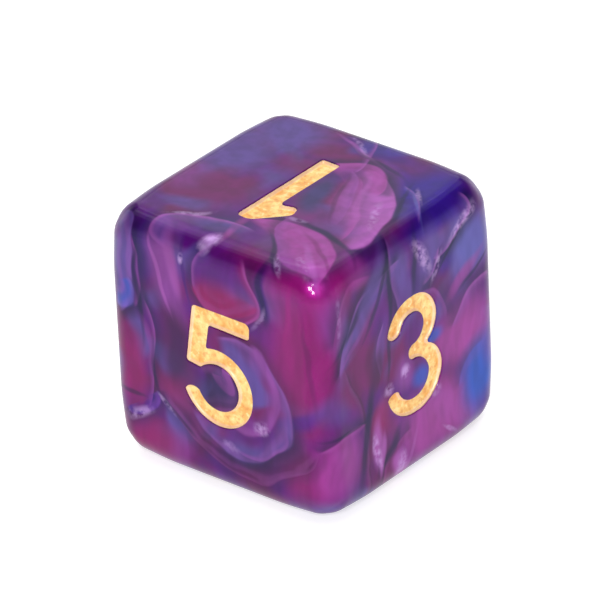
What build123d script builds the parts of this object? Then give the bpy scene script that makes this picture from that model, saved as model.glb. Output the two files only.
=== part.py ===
"""Six-sided die, 16 mm across, with a shallow sunk numeral on each face and gold paint in it.

The die is one moulded resin body.  The paint in each numeral is a separate thin solid that
lies on the floor of its recess.  The die rests on the face marked 6, the face marked 1 is on
top, and opposite faces add up to seven.

Frame: millimetres, +Z up, origin at the centre of the face that the die rests on.
"""
import os
from itertools import product

from build123d import *

# The moulded body
side = 16.0             # across two opposite flat faces
edge_radius = 1.5       # rolling radius along the twelve edges
corner_cut = 2.45       # length of each edge cut away at a corner before the edges are rolled

# The numerals
recess_depth = 0.40     # from the flat face down to the floor of a numeral
paint_thickness = 0.22  # paint on that floor, so its top lies below the face

half = side / 2

# Each face's plane looks outwards, and its y direction is the top of the numeral.
face_planes = {
    "one": Plane(origin=(0, 0, side), x_dir=(-1, 0, 0), z_dir=(0, 0, 1)),
    "two": Plane(origin=(0, half, half), x_dir=(-1, 0, 0), z_dir=(0, 1, 0)),
    "three": Plane(origin=(half, 0, half), x_dir=(0, 1, 0), z_dir=(1, 0, 0)),
    "four": Plane(origin=(-half, 0, half), x_dir=(0, -1, 0), z_dir=(-1, 0, 0)),
    "five": Plane(origin=(0, -half, half), x_dir=(1, 0, 0), z_dir=(0, -1, 0)),
    "six": Plane(origin=(0, 0, 0), x_dir=(1, 0, 0), z_dir=(0, 0, -1)),
}

# Outlines about the face's centre.  A pair of numbers is the next point along a straight run.
# Two pairs are an arc, through the first one to the second one.
outlines = {
    "one": [[
        (-1.45, 2.75), (-0.20, 4.00), ((0.08, 4.18), (0.40, 4.25)), (0.72, 4.22),
        ((1.00, 4.10), (1.10, 3.80)), (1.13, -3.52), ((1.09, -3.62), (1.00, -3.65)),
        (0.02, -3.62), ((-0.14, -3.55), (-0.20, -3.38)), (-0.20, 1.55),
        ((-0.30, 1.78), (-0.55, 1.82)), (-0.98, 1.72), ((-1.36, 1.82), (-1.52, 2.15)),
        ((-1.58, 2.47), (-1.45, 2.75)),
    ]],
    "two": [[
        (-2.28, 1.95), ((-1.62, 3.10), (0.00, 3.70)), ((1.68, 3.12), (2.35, 1.60)),
        ((2.05, 0.45), (1.20, -0.72)), (-0.46, -2.50), ((-0.48, -2.64), (-0.34, -2.70)),
        (2.12, -2.70), ((2.36, -2.82), (2.45, -3.05)), (2.45, -3.40),
        ((2.38, -3.62), (2.18, -3.72)), (-2.05, -3.72), ((-2.33, -3.60), (-2.45, -3.32)),
        ((-2.36, -3.02), (-2.20, -2.76)), (0.45, 0.12), ((1.08, 0.92), (1.28, 1.62)),
        ((0.95, 2.36), (0.00, 2.68)), ((-0.84, 2.38), (-1.20, 1.85)),
        ((-1.75, 1.52), (-2.28, 1.95)),
    ]],
    "three": [[
        (-2.24, 1.95), ((-1.52, 3.08), (0.02, 3.57)), ((1.62, 2.98), (2.22, 1.70)),
        ((2.02, 0.84), (1.42, 0.20)), ((1.37, 0.08), (1.42, -0.04)),
        ((2.25, -0.76), (2.57, -1.75)), ((1.84, -3.32), (0.10, -3.93)),
        ((-1.62, -3.36), (-2.40, -2.12)), ((-1.92, -1.86), (-1.38, -2.02)),
        ((-0.84, -2.74), (0.05, -2.95)), ((1.02, -2.48), (1.35, -1.60)),
        ((0.96, -0.84), (0.14, -0.46)), ((-0.42, 0.02), (0.10, 0.50)),
        ((0.74, 0.86), (1.02, 1.55)), ((0.70, 2.28), (-0.05, 2.52)),
        ((-0.68, 2.34), (-1.04, 1.84)), ((-1.62, 1.52), (-2.24, 1.95)),
    ]],
    "four": [
        [
            (0.35, 3.62), ((0.52, 3.76), (0.75, 3.80)), (1.30, 3.80),
            ((1.54, 3.70), (1.63, 3.45)), (1.63, -0.82), ((1.67, -0.92), (1.77, -0.96)),
            (2.22, -0.96), ((2.46, -1.10), (2.55, -1.35)), (2.55, -1.60),
            ((2.46, -1.86), (2.22, -1.98)), (1.77, -1.98), ((1.67, -2.02), (1.63, -2.12)),
            (1.63, -3.40), ((1.52, -3.66), (1.28, -3.76)), (0.94, -3.76),
            ((0.68, -3.66), (0.58, -3.40)), (0.58, -2.12), ((0.54, -2.02), (0.44, -1.98)),
            (-2.28, -1.98), ((-2.58, -1.86), (-2.70, -1.56)), ((-2.70, -1.28), (-2.58, -1.05)),
            (0.35, 3.62),
        ],
        [
            (0.58, 1.86), (0.58, -0.80), ((0.53, -0.91), (0.42, -0.96)), (-1.20, -0.96),
            ((-1.34, -0.88), (-1.32, -0.72)), (0.34, 1.94), ((0.49, 2.00), (0.58, 1.86)),
        ],
    ],
    "five": [[
        (-1.56, 3.44), ((-1.46, 3.66), (-1.22, 3.75)), (2.30, 3.73),
        ((2.56, 3.63), (2.66, 3.38)), (2.62, 2.90), ((2.54, 2.72), (2.36, 2.65)),
        (-0.22, 2.73), ((-0.32, 2.69), (-0.37, 2.60)), (-0.61, 1.34), ((-0.58, 1.23), (-0.46, 1.19)),
        ((1.92, 0.59), (2.66, -1.19)), ((1.92, -2.98), (0.13, -3.72)),
        ((-1.40, -3.20), (-2.33, -1.98)), ((-1.92, -1.65), (-1.26, -1.76)),
        ((-0.68, -2.44), (0.13, -2.68)), ((1.18, -2.24), (1.62, -1.19)),
        ((1.18, -0.14), (0.13, 0.30)), ((-0.45, 0.18), (-0.98, -0.10)),
        ((-1.08, -0.18), (-1.22, -0.20)), (-1.94, -0.10), ((-2.08, 0.00), (-2.10, 0.15)),
        (-1.56, 3.44),
    ]],
    "six": [
        [
            (1.95, 2.98), ((1.90, 3.44), (1.52, 3.62)), ((-1.45, 2.30), (-2.55, -1.19)),
            ((-1.80, -2.99), (0.00, -3.74)), ((1.80, -2.99), (2.55, -1.19)),
            ((1.80, 0.61), (0.00, 1.36)), ((-0.42, 1.32), (-0.82, 1.22)),
            ((-0.96, 1.27), (-0.92, 1.43)), ((0.05, 2.28), (1.42, 2.66)),
            ((1.78, 2.74), (1.95, 2.98)),
        ],
        [
            (1.50, -1.19), ((1.06, -0.13), (0.00, 0.31)), ((-1.06, -0.13), (-1.50, -1.19)),
            ((-1.06, -2.25), (0.00, -2.69)), ((1.06, -2.25), (1.50, -1.19)),
        ],
    ],
}


def draw_outline(steps):
    """Closed outline of straight runs and arcs, from its first point back to that point."""
    with BuildLine() as outline:
        last = steps[0]
        for step in steps[1:]:
            if isinstance(step[0], tuple):
                ThreePointArc(last, step[0], step[1])
                last = step[1]
            else:
                Line(last, step)
                last = step
    return outline.line


def numeral_sketch(name, depth):
    """The flat shape of a numeral, at a depth below its face."""
    with BuildSketch(face_planes[name].offset(-depth)) as numeral:
        for mode, steps in zip((Mode.ADD, Mode.SUBTRACT), outlines[name]):
            add(draw_outline(steps))
            make_face(mode=mode)
    return numeral.sketch


os.makedirs("parts", exist_ok=True)

# The body is moulded as a block whose corners are rounded a little more than its edges, so each
# corner is cut off flat first, and the cuts are rolled together with the edges.
centre = Vector(0, 0, half)
corner_plane_distance = (3 * half - corner_cut) / 3**0.5
with BuildPart() as body:
    with Locations(centre):
        Box(side, side, side)
    for signs in product((-1, 1), repeat=3):
        outward = Vector(*signs).normalized()
        cut_plane = Plane(origin=centre + outward * corner_plane_distance, z_dir=outward)
        split(bisect_by=cut_plane, keep=Keep.BOTTOM)
    fillet(body.edges(), radius=edge_radius)
    for name in outlines:
        extrude(numeral_sketch(name, recess_depth), amount=recess_depth, mode=Mode.SUBTRACT)
body.part.label = "body"
export_step(body.part, "parts/body.step")

# Each numeral is filled by hand with paint, which settles on the floor of its recess.
for name in outlines:
    with BuildPart() as paint:
        extrude(numeral_sketch(name, recess_depth), amount=paint_thickness)
    paint.part.label = f"numeral_{name}_paint"
    export_step(paint.part, f"parts/numeral_{name}_paint.step")
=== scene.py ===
"""A marbled resin die with gold numerals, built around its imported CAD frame.

Everything is in metres in the CAD frame: +Z up, origin under the middle of the die.
The sections run in the order the die is made: the moulded body, the paint in its numerals,
then the table, lights and camera.
"""

import math

import bpy
import bmesh
import numpy as np
from mathutils import Matrix, Vector
from mathutils.geometry import delaunay_2d_cdt


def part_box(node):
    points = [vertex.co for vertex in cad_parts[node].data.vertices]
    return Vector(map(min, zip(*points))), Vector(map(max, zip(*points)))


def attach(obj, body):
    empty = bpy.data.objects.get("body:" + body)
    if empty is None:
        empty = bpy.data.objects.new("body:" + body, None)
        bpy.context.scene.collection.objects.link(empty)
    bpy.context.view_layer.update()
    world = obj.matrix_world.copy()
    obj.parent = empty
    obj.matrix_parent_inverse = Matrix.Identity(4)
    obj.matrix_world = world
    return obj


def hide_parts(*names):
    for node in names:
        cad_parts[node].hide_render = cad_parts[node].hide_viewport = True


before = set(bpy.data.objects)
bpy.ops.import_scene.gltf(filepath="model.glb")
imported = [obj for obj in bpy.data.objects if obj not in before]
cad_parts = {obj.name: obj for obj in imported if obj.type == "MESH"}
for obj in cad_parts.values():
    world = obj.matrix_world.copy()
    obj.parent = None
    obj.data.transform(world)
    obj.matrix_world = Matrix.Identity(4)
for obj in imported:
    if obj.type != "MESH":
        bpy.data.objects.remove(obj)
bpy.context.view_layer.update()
scene = bpy.context.scene
mm = 0.001


# ---------------------------------------------------------------------------------------------
# Numerals.  The mould has a raised numeral in each side of its cavity, which leaves a recess
# with square walls in the resin.  Both the body and the paint are built on these outlines.
# A pair is the next point along a straight run; two pairs are an arc through the first pair.
# Millimetres about the face's centre, y towards the top of the numeral.

outlines = {
    "one": [[
        (-1.45, 2.75), (-0.20, 4.00), ((0.08, 4.18), (0.40, 4.25)), (0.72, 4.22),
        ((1.00, 4.10), (1.10, 3.80)), (1.13, -3.52), ((1.09, -3.62), (1.00, -3.65)),
        (0.02, -3.62), ((-0.14, -3.55), (-0.20, -3.38)), (-0.20, 1.55),
        ((-0.30, 1.78), (-0.55, 1.82)), (-0.98, 1.72), ((-1.36, 1.82), (-1.52, 2.15)),
        ((-1.58, 2.47), (-1.45, 2.75)),
    ]],
    "two": [[
        (-2.28, 1.95), ((-1.62, 3.10), (0.00, 3.70)), ((1.68, 3.12), (2.35, 1.60)),
        ((2.05, 0.45), (1.20, -0.72)), (-0.46, -2.50), ((-0.48, -2.64), (-0.34, -2.70)),
        (2.12, -2.70), ((2.36, -2.82), (2.45, -3.05)), (2.45, -3.40),
        ((2.38, -3.62), (2.18, -3.72)), (-2.05, -3.72), ((-2.33, -3.60), (-2.45, -3.32)),
        ((-2.36, -3.02), (-2.20, -2.76)), (0.45, 0.12), ((1.08, 0.92), (1.28, 1.62)),
        ((0.95, 2.36), (0.00, 2.68)), ((-0.84, 2.38), (-1.20, 1.85)),
        ((-1.75, 1.52), (-2.28, 1.95)),
    ]],
    "three": [[
        (-2.24, 1.95), ((-1.52, 3.08), (0.02, 3.57)), ((1.62, 2.98), (2.22, 1.70)),
        ((2.02, 0.84), (1.42, 0.20)), ((1.37, 0.08), (1.42, -0.04)),
        ((2.25, -0.76), (2.57, -1.75)), ((1.84, -3.32), (0.10, -3.93)),
        ((-1.62, -3.36), (-2.40, -2.12)), ((-1.92, -1.86), (-1.38, -2.02)),
        ((-0.84, -2.74), (0.05, -2.95)), ((1.02, -2.48), (1.35, -1.60)),
        ((0.96, -0.84), (0.14, -0.46)), ((-0.42, 0.02), (0.10, 0.50)),
        ((0.74, 0.86), (1.02, 1.55)), ((0.70, 2.28), (-0.05, 2.52)),
        ((-0.68, 2.34), (-1.04, 1.84)), ((-1.62, 1.52), (-2.24, 1.95)),
    ]],
    "four": [
        [
            (0.35, 3.62), ((0.52, 3.76), (0.75, 3.80)), (1.30, 3.80),
            ((1.54, 3.70), (1.63, 3.45)), (1.63, -0.82), ((1.67, -0.92), (1.77, -0.96)),
            (2.22, -0.96), ((2.46, -1.10), (2.55, -1.35)), (2.55, -1.60),
            ((2.46, -1.86), (2.22, -1.98)), (1.77, -1.98), ((1.67, -2.02), (1.63, -2.12)),
            (1.63, -3.40), ((1.52, -3.66), (1.28, -3.76)), (0.94, -3.76),
            ((0.68, -3.66), (0.58, -3.40)), (0.58, -2.12), ((0.54, -2.02), (0.44, -1.98)),
            (-2.28, -1.98), ((-2.58, -1.86), (-2.70, -1.56)), ((-2.70, -1.28), (-2.58, -1.05)),
            (0.35, 3.62),
        ],
        [
            (0.58, 1.86), (0.58, -0.80), ((0.53, -0.91), (0.42, -0.96)), (-1.20, -0.96),
            ((-1.34, -0.88), (-1.32, -0.72)), (0.34, 1.94), ((0.49, 2.00), (0.58, 1.86)),
        ],
    ],
    "five": [[
        (-1.56, 3.44), ((-1.46, 3.66), (-1.22, 3.75)), (2.30, 3.73),
        ((2.56, 3.63), (2.66, 3.38)), (2.62, 2.90), ((2.54, 2.72), (2.36, 2.65)),
        (-0.22, 2.73), ((-0.32, 2.69), (-0.37, 2.60)), (-0.61, 1.34), ((-0.58, 1.23), (-0.46, 1.19)),
        ((1.92, 0.59), (2.66, -1.19)), ((1.92, -2.98), (0.13, -3.72)),
        ((-1.40, -3.20), (-2.33, -1.98)), ((-1.92, -1.65), (-1.26, -1.76)),
        ((-0.68, -2.44), (0.13, -2.68)), ((1.18, -2.24), (1.62, -1.19)),
        ((1.18, -0.14), (0.13, 0.30)), ((-0.45, 0.18), (-0.98, -0.10)),
        ((-1.08, -0.18), (-1.22, -0.20)), (-1.94, -0.10), ((-2.08, 0.00), (-2.10, 0.15)),
        (-1.56, 3.44),
    ]],
    "six": [
        [
            (1.95, 2.98), ((1.90, 3.44), (1.52, 3.62)), ((-1.45, 2.30), (-2.55, -1.19)),
            ((-1.80, -2.99), (0.00, -3.74)), ((1.80, -2.99), (2.55, -1.19)),
            ((1.80, 0.61), (0.00, 1.36)), ((-0.42, 1.32), (-0.82, 1.22)),
            ((-0.96, 1.27), (-0.92, 1.43)), ((0.05, 2.28), (1.42, 2.66)),
            ((1.78, 2.74), (1.95, 2.98)),
        ],
        [
            (1.50, -1.19), ((1.06, -0.13), (0.00, 0.31)), ((-1.06, -0.13), (-1.50, -1.19)),
            ((-1.06, -2.25), (0.00, -2.69)), ((1.06, -2.25), (1.50, -1.19)),
        ],
    ],
}


def arc_points(start, middle, end, spacing):
    """Points after start, up to and with end, on the circle through the three points."""
    (ax, ay), (bx, by), (cx, cy) = start, middle, end
    twice_area = 2 * (ax * (by - cy) + bx * (cy - ay) + cx * (ay - by))
    a2, b2, c2 = ax * ax + ay * ay, bx * bx + by * by, cx * cx + cy * cy
    ox = (a2 * (by - cy) + b2 * (cy - ay) + c2 * (ay - by)) / twice_area
    oy = (a2 * (cx - bx) + b2 * (ax - cx) + c2 * (bx - ax)) / twice_area
    radius = math.hypot(ax - ox, ay - oy)
    first = math.atan2(ay - oy, ax - ox)
    sweep = (math.atan2(cy - oy, cx - ox) - first) % math.tau
    if (math.atan2(by - oy, bx - ox) - first) % math.tau > sweep:
        sweep -= math.tau
    count = max(3, math.ceil(abs(sweep) * radius / spacing))
    turns = first + sweep * np.arange(1, count + 1) / count
    return [(ox + radius * math.cos(t), oy + radius * math.sin(t)) for t in turns]


def outline_points(steps, spacing):
    """Closed loop of evenly spaced points along an outline, as an array."""
    points = [steps[0]]
    for step in steps[1:]:
        last = points[-1]
        if isinstance(step[0], tuple):
            points += arc_points(last, step[0], step[1], spacing)
        else:
            count = max(1, math.ceil(math.dist(last, step) / spacing))
            points += [(last[0] + (step[0] - last[0]) * k / count,
                        last[1] + (step[1] - last[1]) * k / count) for k in range(1, count + 1)]
    return np.array(points[:-1])


def inside_loop(points, loop):
    """True for each point inside a closed loop."""
    ahead = np.roll(loop, -1, axis=0)
    x, y = points[:, 0, None], points[:, 1, None]
    spans = (loop[:, 1] > y) != (ahead[:, 1] > y)
    rise = np.where(ahead[:, 1] == loop[:, 1], 1.0, ahead[:, 1] - loop[:, 1])
    crossing = loop[:, 0] + (y - loop[:, 1]) * (ahead[:, 0] - loop[:, 0]) / rise
    return (spans & (x < crossing)).sum(axis=1) % 2 == 1


def inside_numeral(points, loops):
    """True inside the outer loop and outside the counter, if the numeral has one."""
    inside = inside_loop(points, loops[0])
    for counter in loops[1:]:
        inside &= ~inside_loop(points, counter)
    return inside


def away_from_paint(loops):
    """For each loop, unit normals that point from the recess towards the flat face."""
    normals = []
    for index, loop in enumerate(loops):
        along = np.roll(loop, -1, axis=0) - np.roll(loop, 1, axis=0)
        area = np.sum(loop[:, 0] * np.roll(loop[:, 1], -1) - np.roll(loop[:, 0], -1) * loop[:, 1])
        side = math.copysign(1, area) * (1 if index == 0 else -1)
        normal = np.stack([along[:, 1], -along[:, 0]], axis=1) * side
        normals.append(normal / np.linalg.norm(normal, axis=1, keepdims=True))
    return normals


def triangulate(loops, inner_points):
    """Delaunay triangles over loops and loose points, as (points, triangles)."""
    points = np.concatenate(loops + [inner_points])
    edges = []
    first = 0
    for loop in loops:
        count = len(loop)
        edges += [(first + k, first + (k + 1) % count) for k in range(count)]
        first += count
    result = delaunay_2d_cdt([Vector(p) for p in points], edges, [], 0, 1e-6)
    points, triangles = np.array([tuple(v) for v in result[0]]), np.array(result[2])
    # along a straight border the hull adds slivers with no height, which are left out
    first, second = (points[triangles[:, k]] - points[triangles[:, 0]] for k in (1, 2))
    area = np.abs(first[:, 0] * second[:, 1] - first[:, 1] * second[:, 0])
    longest = np.max([np.linalg.norm(v, axis=1) for v in (first, second, first - second)], axis=0)
    return points, triangles[area > 1e-4 * longest]


# ---------------------------------------------------------------------------------------------
# Body.  One block of pearl resin, cast solid in a mould and tumbled until its edges roll over.
# The flat faces keep the mould's polish; the corners wear rounder than the edges.

body_low, body_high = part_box("body")
half = (body_high.x - body_low.x) / 2 / mm
die_centre = (body_low + body_high) / 2
edge_radius = 1.5
corner_radius = 2.0
corner_wear_from = 3.5      # distance along an edge from its middle where the wear begins
recess_depth = 0.40
rim_radius = 0.06           # polish on the lip of a numeral
rim_support = 0.05          # narrow flat ring that keeps the face flat beside the lip
outline_spacing = 0.06
rim_steps = 4
spot_clearance = 0.25       # mesh points of the flat keep this far from a numeral
weld_distance = 0.0004
flat_half = half - corner_radius - 0.1
flat_cells = 28
roll_cells = 20

face_axes = {
    "one": ((-1, 0, 0), (0, -1, 0), (0, 0, 1)),
    "two": ((-1, 0, 0), (0, 0, 1), (0, 1, 0)),
    "three": ((0, 1, 0), (0, 0, 1), (1, 0, 0)),
    "four": ((0, -1, 0), (0, 0, 1), (-1, 0, 0)),
    "five": ((1, 0, 0), (0, 0, 1), (0, -1, 0)),
    "six": ((1, 0, 0), (0, -1, 0), (0, 0, -1)),
}


def face_point(name, x, y, depth):
    """A point in the die's frame, from millimetres in a face's own frame."""
    across, up, out = (Vector(a) for a in face_axes[name])
    return die_centre + (across * x + up * y + out * (half - depth)) * mm


def add_triangles(bm, name, points, triangles, depth):
    """Adds triangles at one depth, all facing out of the face."""
    verts = [bm.verts.new(face_point(name, x, y, depth)) for x, y in points]
    for a, b, c in triangles:
        (ax, ay), (bx, by), (cx, cy) = points[a], points[b], points[c]
        turn = (bx - ax) * (cy - ay) - (by - ay) * (cx - ax)
        bm.faces.new([verts[a], verts[b], verts[c]] if turn > 0 else [verts[a], verts[c], verts[b]])


def add_band(bm, name, rings, depths, outward_first):
    """Quads between rings of equal length, from the face down into the recess."""
    rows = [[bm.verts.new(face_point(name, x, y, d)) for x, y in ring]
            for ring, d in zip(rings, depths)]
    count = len(rows[0])
    for upper, lower in zip(rows, rows[1:]):
        for k in range(count):
            quad = [upper[k], upper[(k + 1) % count], lower[(k + 1) % count], lower[k]]
            bm.faces.new(quad if outward_first else quad[::-1])


def blank_with_numerals():
    """A square-edged cube with the six recesses, finely divided where its edges will roll."""
    bm = bmesh.new()
    middle = np.linspace(-flat_half, flat_half, flat_cells + 1)
    angles = np.linspace(0, math.pi / 4, roll_cells + 1)[1:]
    outer = flat_half + (half - flat_half) * np.tan(angles)
    lines = np.concatenate([-outer[::-1], middle, outer])
    for name, steps in outlines.items():
        # the outer frame of the face is a plain grid
        grid = [[bm.verts.new(face_point(name, x, y, 0)) for x in lines] for y in lines]
        for j in range(len(lines) - 1):
            for i in range(len(lines) - 1):
                x, y = (lines[i] + lines[i + 1]) / 2, (lines[j] + lines[j + 1]) / 2
                if max(abs(x), abs(y)) > flat_half:
                    bm.faces.new([grid[j][i], grid[j][i + 1], grid[j + 1][i + 1], grid[j + 1][i]])
        # the flat middle is triangulated around the numeral
        loops = [outline_points(s, outline_spacing) for s in steps]
        normals = away_from_paint(loops)
        lips = [loop + normal * rim_radius for loop, normal in zip(loops, normals)]
        supports = [lip + normal * rim_support for lip, normal in zip(lips, normals)]
        ends = [flat_half] * flat_cells
        border = np.array(
            [(x, -flat_half) for x in middle[:-1]] + list(zip(ends, middle[:-1]))
            + [(x, flat_half) for x in middle[:0:-1]] + [(-flat_half, y) for y in middle[:0:-1]])
        spots = np.array([(x, y) for x in middle[1:-1] for y in middle[1:-1]])
        near = np.min([np.linalg.norm(spots[:, None] - loop[None], axis=2).min(axis=1)
                       for loop in supports], axis=0)
        spots = spots[~inside_numeral(spots, supports) & (near > spot_clearance)]
        points, triangles = triangulate([border] + lips + supports, spots)
        centres = points[triangles].mean(axis=1)
        add_triangles(bm, name, points, triangles[~inside_numeral(centres, lips)], 0)
        # the lip turns over, the wall drops square, and the floor closes it
        turn = np.linspace(0, math.pi / 2, rim_steps + 1)
        depths = list(rim_radius * (1 - np.cos(turn))) + [recess_depth]
        for index, (loop, normal) in enumerate(zip(loops, normals)):
            offsets = list(rim_radius * (1 - np.sin(turn))) + [0.0]
            rings = [loop + normal * offset for offset in offsets]
            area = np.sum(loop[:, 0] * np.roll(loop[:, 1], -1) - np.roll(loop[:, 0], -1) * loop[:, 1])
            add_band(bm, name, rings, depths, (area > 0) == (index == 0))
        points, triangles = triangulate(loops, np.zeros((0, 2)))
        centres = points[triangles].mean(axis=1)
        add_triangles(bm, name, points, triangles[inside_numeral(centres, loops)], recess_depth)
    bmesh.ops.remove_doubles(bm, verts=bm.verts[:], dist=weld_distance * mm)
    unused = [v for v in bm.verts if not v.link_faces]
    bmesh.ops.delete(bm, geom=unused, context="VERTS")
    mesh = bpy.data.meshes.new("body")
    bm.to_mesh(mesh)
    bm.free()
    return mesh


def place(tree, kind, sockets=(), **settings):
    """Adds a node, sets its options, and gives each input a value or a link."""
    node = tree.nodes.new(kind)
    for name, value in settings.items():
        setattr(node, name, value)
    for key, value in dict(sockets).items():
        if isinstance(value, bpy.types.NodeSocket):
            tree.links.new(value, node.inputs[key])
        else:
            node.inputs[key].default_value = value
    return node


def math_step(tree, operation, *values):
    """A Math node on numbers or sockets, and the socket that it puts out."""
    return place(tree, "ShaderNodeMath", enumerate(values), operation=operation).outputs[0]


def vector_step(tree, operation, *values):
    """The same for a Vector Math node."""
    return place(tree, "ShaderNodeVectorMath", enumerate(values), operation=operation).outputs[0]


def shape_tree(name, inputs):
    """A geometry tree with a mesh in, a mesh out and named number inputs, and its two ends."""
    tree = bpy.data.node_groups.new(name, "GeometryNodeTree")
    tree.interface.new_socket("Mesh", in_out="INPUT", socket_type="NodeSocketGeometry")
    for label, kind in inputs.items():
        tree.interface.new_socket(label, in_out="INPUT", socket_type=kind)
    tree.interface.new_socket("Mesh", in_out="OUTPUT", socket_type="NodeSocketGeometry")
    start = tree.nodes.new("NodeGroupInput")
    return tree, start.outputs, tree.nodes.new("NodeGroupOutput")


def end_tree(tree, end, mesh, material):
    """Closes a geometry tree: instances made real, then the piece's material."""
    real = place(tree, "GeometryNodeRealizeInstances", {"Geometry": mesh})
    coat = place(tree, "GeometryNodeSetMaterial", {"Geometry": real.outputs[0], "Material": material})
    tree.links.new(coat.outputs[0], end.inputs["Mesh"])


def grow(name, mesh, tree, values):
    """Runs a geometry tree on a mesh and returns the plain finished piece."""
    piece = bpy.data.objects.new(name, mesh)
    scene.collection.objects.link(piece)
    modifier = piece.modifiers.new(tree.name, "NODES")
    modifier.node_group = tree
    for item in tree.interface.items_tree:
        if item.in_out == "INPUT" and item.name in values:
            modifier[item.identifier] = values[item.name]
    evaluated = piece.evaluated_get(bpy.context.evaluated_depsgraph_get())
    finished = bpy.data.meshes.new_from_object(evaluated)
    piece.modifiers.remove(modifier)
    piece.data = finished
    piece.data.name = name
    piece.data.polygons.foreach_set("use_smooth", [True] * len(piece.data.polygons))
    return piece


def rolled_edge_tree(material):
    """Rolls a cube's edges over, with a radius that grows towards the corners."""
    number = "NodeSocketFloat"
    tree, given, end = shape_tree("Rolled edges", {
        "Centre": "NodeSocketVector", "Half Width": number, "Edge Radius": number,
        "Corner Radius": number, "Wear From": number})
    position = place(tree, "GeometryNodeInputPosition").outputs[0]
    point = vector_step(tree, "SUBTRACT", position, given["Centre"])
    size = place(tree, "ShaderNodeSeparateXYZ", {0: vector_step(tree, "ABSOLUTE", point)}).outputs
    least = math_step(tree, "MINIMUM", size[0], math_step(tree, "MINIMUM", size[1], size[2]))
    most = math_step(tree, "MAXIMUM", size[0], math_step(tree, "MAXIMUM", size[1], size[2]))
    radius = place(tree, "ShaderNodeMapRange", {
        "Value": least, "From Min": given["Wear From"], "From Max": given["Half Width"],
        "To Min": given["Edge Radius"], "To Max": given["Corner Radius"],
    }, interpolation_type="SMOOTHSTEP").outputs[0]
    reach = math_step(tree, "SUBTRACT", given["Half Width"], radius)
    core = vector_step(tree, "MINIMUM", point, reach)
    core = vector_step(tree, "MAXIMUM", core, math_step(tree, "MULTIPLY", reach, -1.0))
    away = vector_step(tree, "NORMALIZE", vector_step(tree, "SUBTRACT", point, core))
    rolled = place(tree, "ShaderNodeVectorMath", {0: away, 3: radius}, operation="SCALE").outputs[0]
    rolled = vector_step(tree, "ADD", vector_step(tree, "ADD", core, rolled), given["Centre"])
    skin = math_step(tree, "GREATER_THAN", most,
                     math_step(tree, "SUBTRACT", given["Half Width"], 1e-6))
    moved = place(tree, "GeometryNodeSetPosition", {
        "Geometry": given["Mesh"], "Selection": skin, "Position": rolled}).outputs[0]
    end_tree(tree, end, moved, material)
    return tree


# The resin is pearl purple, magenta and slate, poured together and folded before it sets.  Each
# face's clouds, folds, seams and painted glints are laid, in millimetres from the face's centre,
# and run a little way into the block as flattened ellipsoids.


def shader_group(name, inputs, outputs):
    """A shader node group with named sockets, and its two ends."""
    tree = bpy.data.node_groups.new(name, "ShaderNodeTree")
    kinds = {1: "NodeSocketFloat", 3: "NodeSocketVector", 4: "NodeSocketColor"}
    for direction, sockets in (("INPUT", inputs), ("OUTPUT", outputs)):
        for label, value in sockets.items():
            size = len(value) if isinstance(value, tuple) else 1
            socket = tree.interface.new_socket(label, in_out=direction, socket_type=kinds[size])
            if direction == "INPUT":
                socket.default_value = value
    return tree, tree.nodes.new("NodeGroupInput").outputs, tree.nodes.new("NodeGroupOutput").inputs


def ramp(tree, value, low, high, to_low=0.0, to_high=1.0):
    """Maps a number from one span to another, with eased ends that it never passes."""
    # the smooth step stops at both ends by itself, and a clamp would make a long chain of these
    # too big for the renderer, because it would be worked out late
    return place(tree, "ShaderNodeMapRange", {
        "Value": value, "From Min": low, "From Max": high, "To Min": to_low, "To Max": to_high,
    }, interpolation_type="SMOOTHSTEP", clamp=False).outputs[0]


def multiply(tree, first, *others):
    """Product of several numbers or sockets."""
    for other in others:
        first = math_step(tree, "MULTIPLY", first, other)
    return first


def blend(tree, share, first, second, mode="MIX"):
    """Mixes two colours."""
    return place(tree, "ShaderNodeMix", {0: share, 6: first, 7: second},
                 data_type="RGBA", blend_type=mode).outputs[2]


def screen_colour(red, green, blue):
    """A linear colour from screen values out of 255."""
    return (*(((v / 255 + 0.055) / 1.055) ** 2.4 for v in (red, green, blue)), 1.0)


gloss_haze = 0.03           # white that the gloss adds to every tone as it is seen


def tone(red, green, blue):
    """Colour of the resin itself, from the screen values of the tone seen through its gloss."""
    seen = screen_colour(red, green, blue)[:3]
    return (*(max(v - gloss_haze, 0.003) for v in seen), 1.0)


tones = {
    "hot": tone(150, 12, 120), "magenta": tone(134, 24, 110), "crimson": tone(140, 32, 100),
    "plum": tone(110, 40, 100), "wine": tone(84, 32, 86), "violet": tone(94, 40, 120),
    "deep": tone(72, 32, 112), "mauve": tone(128, 72, 142), "pink": tone(152, 72, 146),
    "orchid": tone(168, 96, 174), "glint_lilac": tone(196, 150, 220), "slate": tone(96, 78, 142),
    "steel": tone(98, 96, 168), "indigo": tone(66, 46, 136), "blue": tone(60, 88, 176),
    "ink": tone(74, 66, 112), "night": tone(52, 18, 78), "shine": tone(200, 164, 222),
}

cloud_depth = 1.7           # how far clouds and sheets run down into the block
sheet_depth = 1.9
layer_rate = 7.0            # fine layers inside a sheet, in radians for each millimetre
layer_strength = 0.20
line_strength = 0.7         # dark line outside a sheet's rim, and pale crease inside it
crease_strength = 0.6
# strength of the painted glints, highlights laid into the colour
glint_strength = 0.65
drift_scale, drift_swing = 0.28, 1.6        # slow and quick wandering of every fold
bend_scale, bend_swing = 0.9, 0.12
shade_low, shade_high = 0.90, 1.14          # streaks that darken and lighten the whole pattern


def place_group(tree, group, values):
    """Adds a node that runs a group, and returns what it puts out."""
    return place(tree, "ShaderNodeGroup", values, node_tree=group).outputs


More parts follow.
